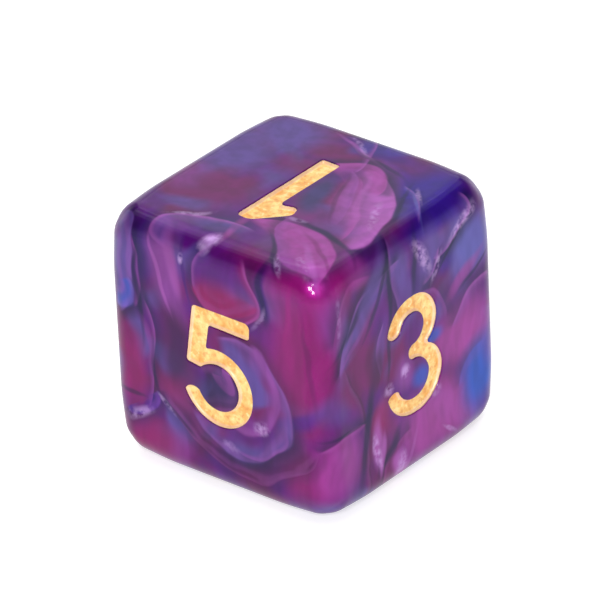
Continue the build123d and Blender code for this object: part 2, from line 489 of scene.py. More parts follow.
def ellipsoid_share(tree, given):
    """0 at the centre of an ellipsoid, 1 on its surface; its axes are divided by its radii."""
    offset = vector_step(tree, "SUBTRACT", given["Position"], given["Centre"])
    parts = [place(tree, "ShaderNodeVectorMath", {0: offset, 1: given[axis]},
                   operation="DOT_PRODUCT").outputs["Value"] for axis in ("Ahead", "Aside", "Deep")]
    total = 0.0
    for part in parts:
        total = math_step(tree, "MULTIPLY_ADD", part, part, total)
    share = math_step(tree, "MAXIMUM", math_step(tree, "SQRT", total), 0.02)
    distance = place(tree, "ShaderNodeVectorMath", {0: offset}, operation="LENGTH").outputs["Value"]
    return share, parts[0], distance


ellipsoid_inputs = {
    "Under": (0, 0, 0, 1), "Position": (0, 0, 0), "Centre": (0, 0, 0), "Ahead": (1, 0, 0),
    "Aside": (0, 1, 0), "Deep": (0, 0, 1), "Tone": (0, 0, 0, 1), "Cover": 1.0}


def cloud_group():
    """A soft patch of colour painted over what lies under it."""
    tree, given, out = shader_group("Resin cloud", ellipsoid_inputs, {"Color": (0, 0, 0, 1)})
    share, _, _ = ellipsoid_share(tree, given)
    cover = multiply(tree, given["Cover"], ramp(tree, share, 1.35, 0.35))
    tree.links.new(blend(tree, cover, given["Under"], given["Tone"]), out["Color"])
    return tree


def sheet_group():
    """A folded sheet of colour: crisp along one edge, fading away behind it.

    The sheet is the inside of an ellipsoid near its rim.  A dark line lies outside the rim and a
    pale crease inside, and fine layers follow the rim."""
    tree, given, out = shader_group("Resin sheet", {
        **ellipsoid_inputs, "Reach": 1.5, "Arc Cosine": 0.0, "Line": 0.5, "Crease": 0.25,
        "Wobble": 0.0}, {"Color": (0, 0, 0, 1)})
    share, ahead, distance = ellipsoid_share(tree, given)
    inside = math_step(tree, "SUBTRACT", math_step(tree, "DIVIDE", distance, share), distance)
    facing = math_step(tree, "DIVIDE", ahead, share)
    arc = ramp(tree, math_step(tree, "SUBTRACT", facing, given["Arc Cosine"]), 0.0, 0.22)
    cover = multiply(tree, given["Cover"], arc, ramp(tree, inside, -0.10, 0.20),
                     ramp(tree, inside, given["Reach"], 0.0))
    layers = math_step(tree, "SINE", math_step(
        tree, "MULTIPLY_ADD", inside, layer_rate, given["Wobble"]))
    sheen = blend(tree, ramp(tree, layers, -1.0, 1.0, 0.0, layer_strength), given["Tone"], tones["orchid"])
    colour = blend(tree, cover, given["Under"], sheen)
    line = multiply(tree, given["Line"], line_strength, arc,
                    ramp(tree, inside, -0.95, -0.04), ramp(tree, inside, 0.14, -0.04))
    colour = blend(tree, line, colour, tones["night"])
    crease = multiply(tree, given["Crease"], crease_strength, arc,
                      ramp(tree, inside, 0.0, 0.10), ramp(tree, inside, 0.34, 0.12))
    colour = blend(tree, crease, colour, tones["orchid"])
    tree.links.new(colour, out["Color"])
    return tree


# Each cloud: x, y and turn on its face, half width and height, tone, cover.
clouds = {
    "five": [
        (-3.0, 1.0, 12, 1.2, 4.0, "wine", 0.8), (-6.3, -1.8, 0, 1.3, 2.6, "crimson", 0.8),
        (-4.8, -6.4, 0, 2.6, 1.4, "crimson", 0.8), (-2.6, -5.8, -40, 0.8, 2.2, "mauve", 0.4),
        (6.6, 3.0, 0, 2.8, 5.6, "magenta", 1.0), (5.0, 7.0, 0, 1.8, 1.0, "hot", 0.4),
        (6.8, -5.0, 0, 2.0, 2.4, "magenta", 0.9), (6.2, -1.4, 28, 1.9, 0.5, "indigo", 0.6),
        (-5.0, 6.2, 0, 1.0, 2.2, "deep", 0.8), (-3.4, 5.2, 14, 1.0, 3.2, "mauve", 0.95),
        (-2.6, 6.6, 10, 0.35, 1.5, "slate", 0.5), (3.8, 6.4, 0, 0.4, 2.2, "deep", 0.9),
        (-2.7, -2.6, 20, 1.1, 1.4, "crimson", 0.6), (0.6, 6.6, 0, 2.6, 1.0, "violet", 0.9),
        (0.6, 4.8, 0, 2.4, 1.3, "crimson", 0.9),
    ],
    "three": [
        (-7.2, 7.2, 0, 2.2, 1.6, "hot", 1.0), (-4.4, 7.2, 0, 1.0, 1.0, "pink", 0.8),
        (-6.8, 5.0, -10, 1.1, 2.0, "mauve", 0.7), (-1.0, 5.6, 0, 0.9, 2.4, "slate", 0.9),
        (2.4, 7.4, 0, 3.4, 0.9, "indigo", 0.9), (0.2, 4.8, -5, 0.4, 1.8, "deep", 0.8),
        (1.5, 5.8, -24, 1.0, 2.0, "slate", 0.8), (5.6, 4.6, 0, 2.0, 1.8, "steel", 0.9),
        (3.2, 4.3, 0, 0.9, 0.9, "indigo", 0.7), (4.6, -0.6, 0, 2.8, 2.1, "pink", 0.95),
        (1.8, -5.2, 0, 4.2, 2.4, "pink", 0.9), (6.1, -4.0, 0, 1.8, 2.4, "blue", 1.0),
        (-6.8, -4.4, 0, 1.8, 2.4, "pink", 0.8), (-7.0, -0.6, 0, 1.2, 0.9, "slate", 0.6),
        (-5.6, 1.0, -30, 1.0, 1.8, "plum", 0.7), (-3.2, 1.8, -10, 0.5, 1.8, "slate", 0.6),
        (-3.0, -3.0, 0, 1.0, 1.2, "crimson", 0.7), (0.1, 1.5, 0, 1.2, 1.1, "violet", 0.8),
        (-0.9, -1.0, 0, 1.0, 1.1, "mauve", 0.9), (0.7, -1.7, 0, 0.9, 0.9, "blue", 0.8),
        (2.0, 0.2, 0, 0.8, 0.5, "blue", 0.8), (-1.6, -6.4, 20, 0.8, 1.3, "orchid", 0.9),
        (-3.4, -4.6, 0, 0.5, 1.8, "orchid", 0.7), (4.6, 2.8, 35, 2.0, 0.4, "pink", 0.6),
    ],
    "one": [
        (-8.0, 8.0, 0, 2.2, 2.2, "hot", 1.0), (-3.0, 7.0, -20, 1.6, 1.2, "plum", 0.7),
        (3.0, 2.4, 0, 2.0, 2.6, "plum", 0.8), (5.6, -1.6, 0, 2.4, 2.4, "slate", 0.9),
        (4.8, -5.2, 0, 2.8, 2.2, "slate", 1.0), (2.4, -2.4, 20, 1.0, 1.4, "plum", 0.6),
        (4.2, 4.6, 0, 1.6, 0.9, "slate", 0.8), (6.2, 1.9, 0, 1.3, 1.4, "mauve", 0.6),
        (-6.2, -4.2, 0, 2.8, 3.4, "indigo", 1.0), (-1.2, -6.4, 0, 2.8, 1.2, "indigo", 0.7),
        (1.0, 5.6, 20, 1.8, 0.9, "ink", 0.8), (0.1, 5.4, 0, 0.3, 1.5, "pink", 0.8),
        # the pale lilac patch at 0.8, 7.2 is a painted glint, a highlight laid into the colour near the edge
        (0.8, 7.2, 0, 0.5, 0.6, "glint_lilac", 0.7), (-3.0, 1.8, -30, 1.8, 0.8, "plum", 0.6),
        (-1.3, 0.0, 24, 0.9, 2.6, "ink", 1.0), (-4.8, 5.3, -32, 4.6, 1.9, "pink", 1.0),
        (-4.2, -0.8, -60, 4.6, 1.6, "orchid", 0.9),
    ],
    "two": [
        (-5.8, 4.6, 20, 2.4, 3.0, "steel", 0.9), (5.4, 5.0, -20, 2.6, 3.2, "magenta", 0.9),
        (-5.6, -3.8, 0, 2.4, 3.2, "pink", 0.9), (4.6, -5.0, 20, 3.0, 2.2, "slate", 0.9),
        (0.4, -6.4, 0, 2.4, 1.2, "crimson", 0.8), (0.2, 6.2, 0, 2.4, 1.2, "violet", 0.9),
        (4.6, 0.4, 0, 1.4, 2.2, "plum", 0.8), (-2.6, -0.6, 20, 0.8, 2.6, "ink", 0.8),
    ],
    "four": [
        (-5.4, 5.2, -20, 2.6, 2.6, "magenta", 0.9), (5.6, 3.6, 0, 2.2, 3.4, "slate", 0.9),
        (-5.2, -4.2, 20, 2.6, 3.0, "indigo", 0.9), (4.8, -4.8, 0, 2.8, 2.4, "pink", 0.9),
        (-0.4, -6.2, 0, 2.6, 1.2, "plum", 0.8), (0.4, 6.4, 0, 2.4, 1.0, "mauve", 0.8),
        (-3.4, 0.4, 0, 1.0, 2.4, "blue", 0.6), (3.6, 0.4, -20, 0.9, 2.6, "crimson", 0.8),
    ],
    "six": [
        (-5.4, 4.8, 0, 2.6, 2.8, "pink", 0.9), (5.0, 5.0, 20, 2.6, 2.6, "indigo", 0.9),
        (-5.0, -4.6, -20, 2.8, 2.6, "slate", 0.9), (5.2, -4.4, 0, 2.6, 3.0, "magenta", 0.9),
        (0.0, -6.4, 0, 2.4, 1.0, "violet", 0.8), (-3.2, 0.4, 10, 0.9, 2.4, "wine", 0.8),
        (4.0, 0.4, 0, 1.0, 2.2, "steel", 0.7),
    ],
}

# Each sheet: a point on its edge, the way the edge faces, the half width and bulge of the edge,
# tone, cover, how far it reaches back, half angle of the edge that shows, line, crease.
sheets = {
    "five": [
        (-5.5, 5.0, 0, 3.7, 2.1, "slate", 1.0, 3.0, 80, 0.9, 0.1),
        (-5.9, 2.4, -35, 1.6, 1.6, "blue", 0.8, 1.6, 70, 0.4, 0.1),
        (-4.25, -0.6, 0, 4.0, 1.2, "mauve", 0.6, 0.9, 75, 0.8, 0.2),
        (-5.0, 4.6, 0, 2.6, 1.4, "violet", 0.6, 0.8, 70, 0.7, 0.2),
        (-1.3, 5.0, 205, 2.6, 2.8, "mauve", 0.5, 0.5, 70, 0.7, 0.3),
        (0.9, 3.7, -90, 2.7, 2.6, "crimson", 0.8, 2.0, 70, 0.3, 0.0),
        (3.45, 5.4, 0, 2.6, 2.8, "crimson", 0.6, 0.8, 60, 0.5, 0.5),
        (1.8, -6.6, -90, 5.8, 5.4, "wine", 0.8, 2.4, 75, 0.5, 0.2),
        (5.7, -1.5, 0, 3.9, 3.9, "slate", 0.8, 1.4, 115, 0.5, 0.35),
        (2.4, -5.4, -80, 4.0, 4.0, "slate", 0.7, 1.3, 80, 0.4, 0.1),
        (4.8, -1.6, -20, 3.2, 3.2, "mauve", 0.9, 1.5, 90, 0.1, 0.1),
        (2.4, -1.2, 0, 2.2, 2.6, "wine", 0.9, 3.6, 150, 0.0, 0.0),
        (1.2, -1.3, -50, 0.8, 1.1, "mauve", 0.9, 2.0, 130, 0.3, 0.2),
        (-4.9, -4.6, -60, 1.6, 1.0, "indigo", 0.9, 1.4, 100, 0.6, 0.2),
        (4.2, -4.6, -55, 2.6, 2.6, "violet", 0.3, 0.5, 60, 0.5, 0.3),
    ],
    "three": [
        (-5.0, 5.0, 135, 4.2, 2.6, "slate", 0.9, 2.2, 75, 1.0, 0.15),
        (-6.0, 6.0, 130, 3.2, 2.6, "plum", 0.5, 0.8, 60, 0.6, 0.1),
        (-2.1, 5.6, 180, 3.0, 1.4, "slate", 0.6, 0.9, 65, 0.8, 0.2),
        (4.6, 5.5, -55, 2.6, 1.6, "slate", 0.8, 0.9, 75, 1.0, 0.6),
        (2.0, 4.3, -50, 1.6, 1.2, "slate", 0.6, 0.8, 60, 0.6, 0.5),
        (5.0, 1.9, 115, 2.4, 1.8, "mauve", 0.8, 0.9, 65, 0.6, 0.4),
        (-4.3, -3.2, 8, 5.4, 2.0, "wine", 1.0, 0.9, 70, 0.3, 0.0),
        (-2.6, -5.4, 140, 2.6, 2.6, "plum", 0.9, 0.7, 65, 0.7, 0.2),
        (-6.4, -2.2, 95, 2.2, 1.2, "pink", 0.6, 1.0, 60, 0.8, 0.1),
        (4.9, -2.5, 130, 2.0, 1.6, "blue", 0.4, 1.0, 60, 0.4, 0.0),
        (2.4, 3.0, 45, 2.4, 2.4, "violet", 0.5, 0.8, 60, 0.5, 0.3),
        (-3.6, 1.6, 175, 2.4, 0.9, "slate", 0.6, 0.6, 60, 0.5, 0.3),
    ],
    "one": [
        (-4.6, 3.5, -112, 4.4, 3.0, "pink", 1.0, 3.4, 80, 0.8, 0.1),
        (-3.4, 6.4, 52, 4.2, 3.2, "mauve", 0.6, 1.4, 70, 0.7, 0.1),
        (-6.0, -1.2, 212, 5.0, 3.0, "orchid", 1.0, 1.8, 80, 0.9, 0.2),
        (-2.2, -4.6, -105, 2.6, 3.0, "pink", 0.9, 2.4, 75, 0.8, 0.1),
        (-4.5, -0.2, 212, 4.4, 1.8, "pink", 0.8, 1.2, 65, 0.3, 0.2),
        (-3.4, -1.0, 212, 4.0, 1.8, "mauve", 0.8, 1.5, 60, 0.3, 0.2),
        (2.9, 5.4, -60, 4.2, 4.2, "slate", 0.8, 1.6, 60, 0.4, 0.8),
        (-1.0, -5.6, 200, 3.0, 1.2, "mauve", 0.5, 0.7, 60, 0.4, 0.4),
        (-6.4, -3.2, 230, 2.6, 1.4, "steel", 0.6, 0.7, 60, 0.4, 0.4),
    ],
    "two": [
        (-1.8, 5.0, 150, 4.4, 2.8, "mauve", 0.9, 2.2, 80, 0.8, 0.3),
        (4.4, -1.0, 30, 4.6, 3.0, "slate", 0.9, 1.8, 85, 0.7, 0.3),
        (-4.6, -2.2, 205, 4.0, 2.4, "orchid", 0.8, 1.6, 80, 0.7, 0.2),
        (1.6, -5.0, -75, 3.8, 2.6, "pink", 0.8, 1.6, 70, 0.6, 0.3),
    ],
    "four": [
        (-4.2, 2.4, 160, 4.4, 2.8, "slate", 0.9, 2.0, 80, 0.8, 0.3),
        (3.0, 5.2, 60, 3.8, 2.6, "pink", 0.8, 1.6, 75, 0.7, 0.3),
        (4.8, -2.4, -30, 4.2, 3.0, "mauve", 0.9, 1.8, 80, 0.8, 0.2),
        (-2.4, -5.2, -110, 3.4, 2.4, "steel", 0.7, 1.4, 70, 0.6, 0.4),
    ],
    "six": [
        (-4.4, 1.8, 170, 4.6, 2.6, "pink", 0.9, 2.0, 80, 0.7, 0.2),
        (3.4, 4.4, 40, 4.0, 2.8, "slate", 0.8, 1.6, 80, 0.7, 0.3),
        (2.2, -5.4, -80, 4.2, 3.0, "mauve", 0.9, 1.8, 75, 0.8, 0.3),
    ],
}

# Each stroke, a thin seam between folds, is given like a cloud.
strokes = {
    "five": [
        (-5.4, 3.6, 0, 0.20, 3.4, "night", 0.7), (-4.3, -1.4, 8, 0.20, 2.4, "night", 0.6),
        (-4.9, 0.6, 20, 0.30, 1.4, "mauve", 0.5), (-3.9, 5.0, 14, 0.14, 2.6, "orchid", 0.5),
        (-2.1, 5.6, 14, 0.16, 2.2, "deep", 0.6), (3.7, 6.4, 0, 0.28, 2.2, "night", 0.6),
        (-3.0, -4.0, 50, 0.18, 1.8, "night", 0.5), (5.6, 5.2, -12, 0.20, 2.8, "hot", 0.4),
        (6.9, 2.4, 8, 0.20, 3.4, "wine", 0.4), (-6.4, -3.4, 80, 0.16, 1.2, "night", 0.6),
        (-0.4, -1.4, 20, 1.6, 1.2, "night", 0.65), (-3.0, 5.8, 14, 0.4, 2.2, "orchid", 0.4),
        (-3.0, 0.4, 8, 0.5, 2.6, "night", 0.35),
    ],
    "three": [
        (-4.5, -3.4, -10, 0.42, 3.8, "night", 0.8), (-2.5, -5.3, -40, 0.30, 1.9, "night", 0.7),
        (-4.6, 4.8, -46, 0.26, 3.6, "night", 0.8), (-2.2, 5.0, -6, 0.24, 3.2, "night", 0.8),
        (-2.5, 0.8, 0, 0.18, 1.8, "night", 0.6), (-3.5, 0.4, -8, 0.34, 1.4, "wine", 0.7),
        (3.8, 5.0, -55, 0.14, 2.0, "night", 0.7), (5.6, 2.8, -62, 0.14, 1.8, "night", 0.6),
        (-6.2, -2.3, 85, 0.16, 1.8, "night", 0.7), (-5.4, 2.6, -40, 0.16, 2.0, "mauve", 0.5),
        (-3.1, -5.4, -14, 0.20, 1.4, "orchid", 0.8), (0.3, 5.4, -14, 0.24, 2.4, "night", 0.7),
        (-0.4, -6.0, -34, 0.20, 1.4, "orchid", 0.4), (-3.6, 5.6, -34, 0.45, 3.2, "slate", 0.7),
        (-3.0, 5.4, -30, 0.18, 3.2, "night", 0.7),
    ],
    "one": [
        (-4.8, 3.4, 72, 0.22, 2.8, "night", 0.8), (-3.4, 6.5, 45, 0.20, 2.2, "night", 0.7),
        (-5.9, -1.9, 26, 0.20, 2.8, "night", 0.6), (-2.4, -4.9, 75, 0.20, 1.8, "night", 0.6),
        (-2.6, -0.4, 30, 0.16, 3.0, "wine", 0.5), (-4.0, -0.6, 30, 0.24, 3.0, "orchid", 0.6),
        (-6.0, 6.2, 48, 0.24, 2.2, "orchid", 0.6), (-5.6, 5.0, 56, 0.16, 2.6, "plum", 0.5),
        (-6.6, -2.6, 45, 0.14, 1.6, "steel", 0.6), (0.2, -5.8, 68, 0.18, 2.4, "orchid", 0.5),
        (-1.0, -5.3, 72, 0.16, 2.0, "night", 0.5), (-8.0, 6.4, 0, 0.6, 2.4, "hot", 0.9),
        (-6.6, 8.0, 0, 1.8, 0.5, "hot", 0.8),
    ],
    "two": [
        (-3.0, 3.4, 40, 0.22, 3.0, "night", 0.7), (3.6, -2.6, -30, 0.24, 3.4, "orchid", 0.6),
        (4.2, 4.2, 14, 0.20, 2.8, "night", 0.6),
    ],
    "four": [
        (-3.6, -3.4, -24, 0.24, 3.2, "night", 0.7), (4.4, 2.0, 20, 0.20, 3.0, "night", 0.6),
        (1.0, 5.8, 70, 0.24, 2.8, "orchid", 0.6),
    ],
    "six": [
        (3.4, -3.6, 36, 0.24, 3.0, "night", 0.7), (-3.6, -3.0, -20, 0.22, 3.0, "orchid", 0.6),
        (-1.6, 5.4, 64, 0.20, 2.8, "night", 0.6),
    ],
}

# Each glint is a painted highlight where mica lies flat to the face: x, y, turn, half width and height,
# strength.
glints = {
    "five": [
        (3.3, -2.8, 20, 0.7, 0.5, 1.0), (-2.4, 6.5, 0, 0.2, 0.4, 0.9), (-5.8, -4.7, 15, 1.1, 0.4, 0.7),
        (3.4, 4.4, 70, 1.0, 0.2, 0.4), (-3.6, -3.6, -45, 0.8, 0.2, 0.7), (1.2, -4.8, 0, 0.7, 0.3, 0.4),
    ],
    "three": [
        (1.0, 5.6, -70, 1.4, 0.5, 0.9), (4.9, 6.1, 35, 1.5, 0.4, 1.0), (2.2, 4.4, 50, 1.0, 0.3, 0.8),
        (-0.8, -0.8, 30, 0.5, 0.4, 0.9), (-2.4, -1.6, 0, 0.5, 0.4, 0.8), (-3.5, -5.0, 100, 1.2, 0.3, 0.9),
        (-1.5, -6.4, 80, 1.0, 0.5, 0.8), (-6.6, 5.0, 80, 1.6, 0.2, 0.3), (1.8, -3.6, 20, 0.7, 0.3, 0.6),
        (3.0, -6.4, -40, 0.8, 0.2, 0.6),
    ],
    "one": [
        (0.8, 7.3, 60, 0.9, 0.6, 1.0), (-6.2, 7.0, -40, 1.4, 0.3, 0.4), (-4.6, 7.4, -45, 1.2, 0.2, 0.6),
        (3.2, 5.6, 40, 1.4, 0.2, 0.7), (-5.6, 0.2, -60, 1.8, 0.3, 0.6), (-6.2, -3.4, -45, 1.2, 0.2, 0.6),
        (0.6, -6.3, -30, 1.6, 0.2, 0.6), (-2.2, 2.7, 0, 0.9, 0.2, 0.5),
    ],
    "two": [(-3.6, 4.6, 30, 1.6, 0.4, 0.6), (3.2, -4.2, -30, 1.4, 0.4, 0.6), (5.6, 1.4, 70, 1.4, 0.3, 0.5)],
    "four": [(4.2, 4.4, 40, 1.6, 0.4, 0.6), (-4.6, -1.8, 80, 1.4, 0.4, 0.6), (2.6, -5.6, 10, 1.4, 0.3, 0.5)],
    "six": [(-3.8, 4.4, -30, 1.6, 0.4, 0.8), (4.4, -2.2, 60, 1.6, 0.4, 0.8)],
}
glint_depth = 0.8


def on_face(face, x, y, turn, radii):
    """Where an ellipsoid laid on a face lies in the die, as inputs for the groups."""
    across, up, out = (Vector(a) for a in face_axes[face])
    heading = math.radians(turn)
    ahead = across * math.cos(heading) + up * math.sin(heading)
    aside = up * math.cos(heading) - across * math.sin(heading)
    return {"Centre": across * x + up * y + out * half, "Ahead": ahead / radii[0],
            "Aside": aside / radii[1], "Deep": out / radii[2]}


def marbled_colour(tree, position):
    """The swirled colour of the resin at a position in millimetres from the die's centre."""
    def swayed(spot, scale, swing):
        noise = place(tree, "ShaderNodeTexNoise", {
            "Vector": spot, "Scale": scale, "Detail": 0.6}).outputs["Color"]
        push = vector_step(tree, "SUBTRACT", noise, (0.5, 0.5, 0.5))
        return vector_step(tree, "MULTIPLY_ADD", push, (swing, swing, swing), spot)

    drifted = swayed(position, drift_scale, drift_swing)
    sea = place(tree, "ShaderNodeTexNoise", {
        "Vector": drifted, "Scale": 0.34, "Detail": 1.5}).outputs["Fac"]
    colour = blend(tree, ramp(tree, sea, 0.38, 0.62), tones["violet"], tones["plum"])
    pool = place(tree, "ShaderNodeTexNoise", {
        "Vector": vector_step(tree, "ADD", drifted, (31, 7, 19)), "Scale": 0.3,
        "Detail": 1.0}).outputs["Fac"]
    colour = blend(tree, ramp(tree, pool, 0.50, 0.66), colour, tones["slate"])
    wobble = multiply(tree, place(tree, "ShaderNodeTexNoise", {
        "Vector": drifted, "Scale": 0.45, "Detail": 1.0}).outputs["Fac"], 10.0)
    bent = swayed(drifted, bend_scale, bend_swing)

    cloud, sheet = cloud_group(), sheet_group()

    def clouded(colour, faces):
        for face, rows in faces.items():
            for x, y, turn, width, height, name, cover in rows:
                colour = place_group(tree, cloud, {
                    "Under": colour, "Position": bent, "Tone": tones[name], "Cover": cover,
                    **on_face(face, x, y, turn, (width, height, cloud_depth))})["Color"]
        return colour

    colour = clouded(colour, clouds)
    for face, rows in sheets.items():
        for x, y, turn, width, bulge, name, cover, reach, arc, line, crease in rows:
            heading = math.radians(turn)
            x, y = x - bulge * math.cos(heading), y - bulge * math.sin(heading)
            colour = place_group(tree, sheet, {
                "Under": colour, "Position": bent, "Tone": tones[name], "Cover": cover,
                "Reach": reach, "Arc Cosine": math.cos(math.radians(arc)), "Line": line,
                "Crease": crease, "Wobble": wobble,
                **on_face(face, x, y, turn, (bulge, width, sheet_depth))})["Color"]
    colour = clouded(colour, strokes)
    # painted glints: pale patches, broken up by noise, laid into the colour as highlights where mica lies
    # flat
    painted_glint_noise = place(tree, "ShaderNodeTexNoise", {
        "Vector": bent, "Scale": 2.4, "Detail": 2.0, "Roughness": 0.5}).outputs["Fac"]
    painted_glint_mask = ramp(tree, painted_glint_noise, 0.30, 0.66)
    for face, rows in glints.items():
        for x, y, turn, width, height, cover in rows:
            colour = place_group(tree, cloud, {
                "Under": colour, "Position": bent, "Tone": tones["shine"],
                "Cover": multiply(tree, painted_glint_mask, glint_strength * cover),
                **on_face(face, x, y, turn, (width, height, glint_depth))})["Color"]

    streaks = place(tree, "ShaderNodeTexNoise", {
        "Vector": vector_step(tree, "MULTIPLY", bent, (1.0, 1.0, 0.25)), "Scale": 1.3, "Detail": 1.5,
        "Roughness": 0.5}).outputs["Fac"]
    shade = ramp(tree, streaks, 0.28, 0.72, shade_low, shade_high)
    colour = blend(tree, 1.0, colour, place(tree, "ShaderNodeCombineColor", {
        0: shade, 1: shade, 2: shade}).outputs[0], "MULTIPLY")
    return colour


resin = bpy.data.materials.new("marbled_resin")
resin.use_nodes = True
resin_tree = resin.node_tree
object_place = place(resin_tree, "ShaderNodeTexCoord").outputs["Object"]
from_centre = vector_step(resin_tree, "SUBTRACT", object_place, die_centre)
in_mm = place(resin_tree, "ShaderNodeVectorMath", {0: from_centre, 3: 1 / mm},
              operation="SCALE").outputs[0]
resin_colour = marbled_colour(resin_tree, in_mm)
resin_shader = resin_tree.nodes["Principled BSDF"]
resin_tree.links.new(resin_colour, resin_shader.inputs["Base Color"])
resin_shader.inputs["Metallic"].default_value = 0.45
resin_shader.inputs["Roughness"].default_value = 0.38
resin_shader.inputs["Specular IOR Level"].default_value = 0.0
resin_shader.inputs["Coat Weight"].default_value = 0.46
resin_shader.inputs["Coat Roughness"].default_value = 0.07


body = grow("die_body", blank_with_numerals(), rolled_edge_tree(resin), {
    "Centre": die_centre, "Half Width": half * mm, "Edge Radius": edge_radius * mm,
    "Corner Radius": corner_radius * mm, "Wear From": corner_wear_from * mm})
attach(body, "root")
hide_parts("body")


# ---------------------------------------------------------------------------------------------
# Paint.  Gold paint is wiped into each numeral by hand and the flat is wiped clean.  It settles
# on the floor of the recess, creeps a little way up the walls, and dries slightly lumpy.

film_depth = 0.07        # how far below the face the paint stops on the wall
floor_paint_depth = 0.27
creep_width = 0.17       # distance over which the paint curves from the wall to the floor
paint_gap = 0.004        # hair of air between paint and wall, so the two never share a face
paint_spacing = 0.07
lump_height = 0.030
grain_height = 0.010
lump_scale, grain_scale = 1600, 7000     # noise scales, for each metre
border_clearance = 0.11
border_rings = (0.02, 0.05, 0.09)        # rows of mesh points that follow the wall


def paint_slab(name):
    """A closed slab as wide as the numeral, flat so far, with its distance to the wall noted."""
    loops = [outline_points(s, outline_spacing) for s in outlines[name]]
    normals = away_from_paint(loops)
    walls = [loop - normal * paint_gap for loop, normal in zip(loops, normals)]
    low, high = walls[0].min(axis=0), walls[0].max(axis=0)
    rows = np.arange(low[1], high[1], paint_spacing * math.sqrt(3) / 2)
    spots = [(x + (k % 2) * paint_spacing / 2, y)
             for k, y in enumerate(rows) for x in np.arange(low[0], high[0], paint_spacing)]
    spots = np.array(spots)

    def wall_distance(points):
        nearest = []
        for wall in walls:
            run = np.roll(wall, -1, axis=0) - wall
            to_point = points[:, None] - wall[None]
            share = (to_point * run).sum(axis=2) / (run * run).sum(axis=1)
            gap = to_point - np.clip(share, 0, 1)[..., None] * run
            nearest.append(np.linalg.norm(gap, axis=2).min(axis=1))
        return np.min(nearest, axis=0)

    spots = spots[inside_numeral(spots, walls)]
    spots = spots[wall_distance(spots) > border_clearance]
    for step in border_rings:
        ring = np.concatenate([wall - normal * step for wall, normal in zip(walls, normals)])
        spots = np.concatenate([spots, ring[wall_distance(ring) > 0.9 * step]])
    points, triangles = triangulate(walls, spots)
    triangles = triangles[inside_numeral(points[triangles].mean(axis=1), walls)]

    bm = bmesh.new()
    distance = bm.verts.layers.float.new("wall_distance")
    surface = bm.verts.layers.float.new("surface")
    sheets = []
    for depth, is_surface in ((0.0, 1.0), (recess_depth - paint_gap, 0.0)):
        sheet = [bm.verts.new(face_point(name, x, y, depth)) for x, y in points]
        for vert, gap in zip(sheet, wall_distance(points)):
            vert[distance] = gap * mm
            vert[surface] = is_surface
        sheets.append(sheet)
    top, under = sheets
    for a, b, c in triangles:
        first, second = points[b] - points[a], points[c] - points[a]
        if first[0] * second[1] - first[1] * second[0] < 0:
            b, c = c, b
        bm.faces.new([top[a], top[b], top[c]])
        bm.faces.new([under[c], under[b], under[a]])
    top_set = set(top)
    border = [e for e in bm.edges if len(e.link_faces) == 1 and e.verts[0] in top_set]
    partner = dict(zip(top, under))
    for edge in border:
        loop = edge.link_loops[0]
        first, second = loop.vert, loop.link_loop_next.vert
        bm.faces.new([second, first, partner[first], partner[second]])
    bmesh.ops.delete(bm, geom=[v for v in bm.verts if not v.link_faces], context="VERTS")
    mesh = bpy.data.meshes.new(name)
    bm.to_mesh(mesh)
    bm.free()
    return mesh


def settled_paint_tree(material):
    """Sinks the top of a paint slab: up the walls at its border, level and lumpy inside."""
    number = "NodeSocketFloat"
    tree, given, end = shape_tree("Settled paint", {
        "Outward": "NodeSocketVector", "Film Depth": number, "Floor Depth": number,
        "Creep Width": number, "Lump Height": number, "Grain Height": number, "Seed": number})
    wall = place(tree, "GeometryNodeInputNamedAttribute", {"Name": "wall_distance"},
                 data_type="FLOAT").outputs["Attribute"]
    surface = place(tree, "GeometryNodeInputNamedAttribute", {"Name": "surface"},
                    data_type="FLOAT").outputs["Attribute"]
    position = place(tree, "GeometryNodeInputPosition").outputs[0]
    share = place(tree, "ShaderNodeMapRange", {
        "Value": wall, "From Min": 0.0, "From Max": given["Creep Width"],
        "To Min": 1.0, "To Max": 0.0}).outputs[0]
    curve = math_step(tree, "SQRT", math_step(
        tree, "SUBTRACT", 1.0, math_step(tree, "MULTIPLY", share, share)))
    fall = math_step(tree, "SUBTRACT", given["Floor Depth"], given["Film Depth"])
    depth = math_step(tree, "MULTIPLY_ADD", curve, fall, given["Film Depth"])
    for scale, label, detail in (
            (lump_scale, "Lump Height", 2.0), (grain_scale, "Grain Height", 1.0)):
        noise = place(tree, "ShaderNodeTexNoise", {
            "Vector": position, "W": given["Seed"], "Scale": scale, "Detail": detail,
        }, noise_dimensions="4D").outputs["Fac"]
        swing = math_step(tree, "MULTIPLY_ADD", noise, 2.0, -1.0)
        depth = math_step(tree, "MULTIPLY_ADD", swing, given[label], depth)
    depth = math_step(tree, "MULTIPLY", depth, math_step(tree, "MULTIPLY", surface, -1.0))
    offset = place(tree, "ShaderNodeVectorMath", {0: given["Outward"], 3: depth},
                   operation="SCALE").outputs[0]
    moved = place(tree, "GeometryNodeSetPosition", {
        "Geometry": given["Mesh"], "Offset": offset}).outputs[0]
    end_tree(tree, end, moved, material)
    return tree


